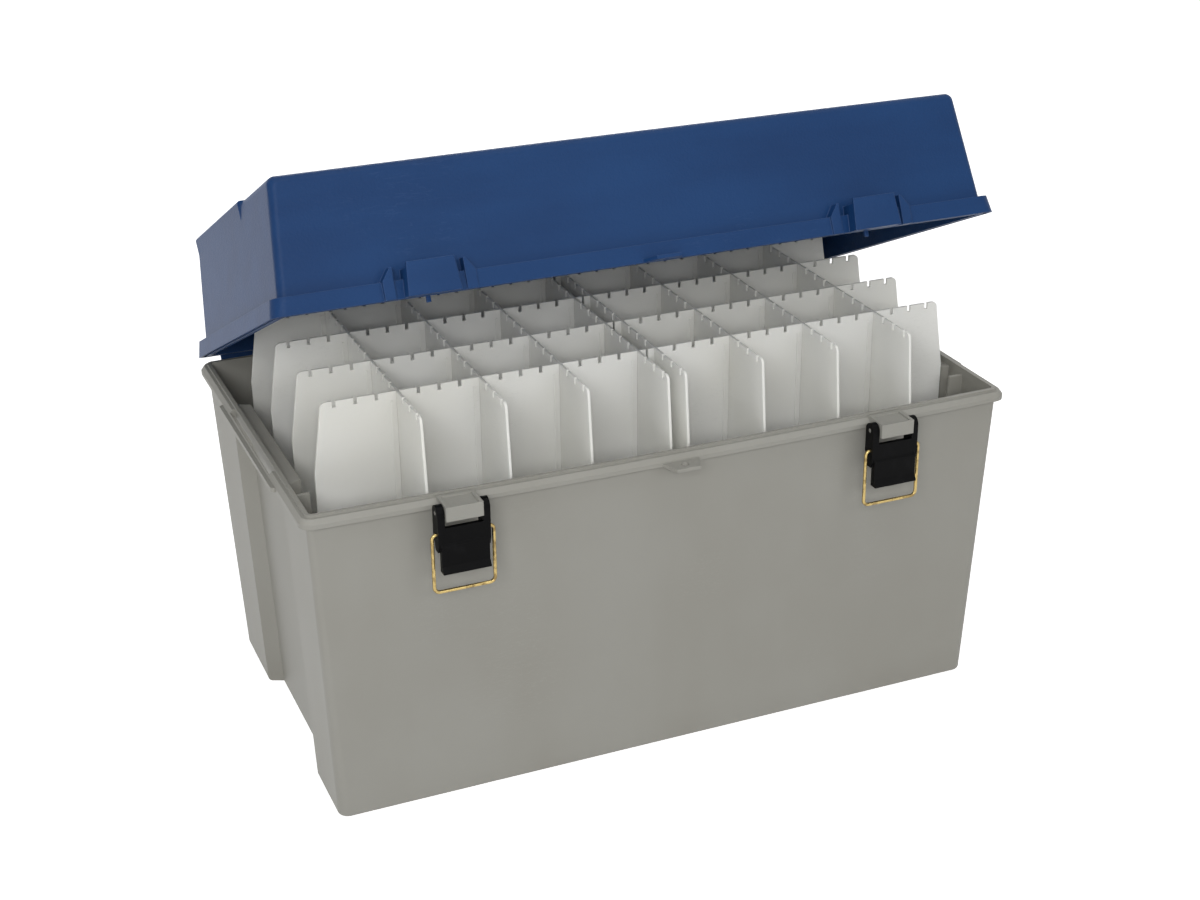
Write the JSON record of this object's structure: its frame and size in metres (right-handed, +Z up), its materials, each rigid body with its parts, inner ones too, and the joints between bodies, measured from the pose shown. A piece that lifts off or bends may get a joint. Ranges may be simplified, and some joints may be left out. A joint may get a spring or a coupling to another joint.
{
  "type": "tackle box",
  "caption": "Deep rectangular tackle box with a hinged lid, wire latches, grips in the ends and lift-out racks of half-lapped plates with notched tops.",
  "frame": {"origin": "middle of the base's underside", "axes": "+X along the length towards the right latch, +Y towards the hinges, +Z up; the lid stands open as in the picture"},
  "size_m": [0.543, 0.3562, 0.4491],
  "materials": {
    "body_plastic": "fine moulded grain",
    "lid_plastic": "fine pebbled grain",
    "rack_plastic": "smooth, milky, lets some light through",
    "latch_plastic": "satin black",
    "brass": "drawn wire, slightly dulled",
    "steel": "plain drawn pin"
  },
  "bodies": {
    "body": {"body_shell": "body_plastic", "hinge_pins": "steel"},
    "lid": {"lid_shell": "lid_plastic", "handle_pins": "steel"},
    "handle": {"carry_handle": "latch_plastic"},
    "left_lever": {"left_latch_lever": "latch_plastic", "left_latch_pin": "steel"},
    "left_bail": {"left_latch_bail": "brass"},
    "left_rack": {"left_rack_fin_1": "rack_plastic", "left_rack_fin_2": "rack_plastic", "left_rack_fin_3": "rack_plastic", "left_rack_fin_4": "rack_plastic", "left_rack_panel_1": "rack_plastic", "left_rack_panel_2": "rack_plastic", "left_rack_panel_3": "rack_plastic", "left_rack_panel_4": "rack_plastic"},
    "right_lever": {"right_latch_lever": "latch_plastic", "right_latch_pin": "steel"},
    "right_bail": {"right_latch_bail": "brass"},
    "right_rack": {"right_rack_fin_1": "rack_plastic", "right_rack_fin_2": "rack_plastic", "right_rack_fin_3": "rack_plastic", "right_rack_fin_4": "rack_plastic", "right_rack_panel_1": "rack_plastic", "right_rack_panel_2": "rack_plastic", "right_rack_panel_3": "rack_plastic", "right_rack_panel_4": "rack_plastic"}
  },
  "joints": [
    {"name": "lid_hinge", "type": "hinge", "parent": "body", "child": "lid", "pos_m": [0, 0.1533, 0.2356], "axis": [-1, 0, 0], "range_deg": [-25, 75]},
    {"name": "handle_pivot", "type": "hinge", "parent": "lid", "child": "handle", "pos_m": [0, 0.07012, 0.37027], "axis": [-1, 0, 0], "range_deg": [0, 90]},
    {"name": "left_lever_pivot", "type": "hinge", "parent": "body", "child": "left_lever", "pos_m": [-0.1633, -0.16352, 0.236], "axis": [1, 0, 0], "range_deg": [-95, 0]},
    {"name": "left_bail_pivot", "type": "hinge", "parent": "left_lever", "child": "left_bail", "pos_m": [-0.1633, -0.16512, 0.2206], "axis": [-1, 0, 0], "range_deg": [-20, 180]},
    {"name": "left_rack_lift", "type": "slide", "parent": "body", "child": "left_rack", "axis": [0, 0, 1], "range_m": [0, 0.04]},
    {"name": "right_lever_pivot", "type": "hinge", "parent": "body", "child": "right_lever", "pos_m": [0.1633, -0.16352, 0.236], "axis": [1, 0, 0], "range_deg": [-95, 0]},
    {"name": "right_bail_pivot", "type": "hinge", "parent": "right_lever", "child": "right_bail", "pos_m": [0.1633, -0.16512, 0.2206], "axis": [-1, 0, 0], "range_deg": [-20, 180]},
    {"name": "right_rack_lift", "type": "slide", "parent": "body", "child": "right_rack", "axis": [0, 0, 1], "range_m": [0, 0.04]}
  ]
}
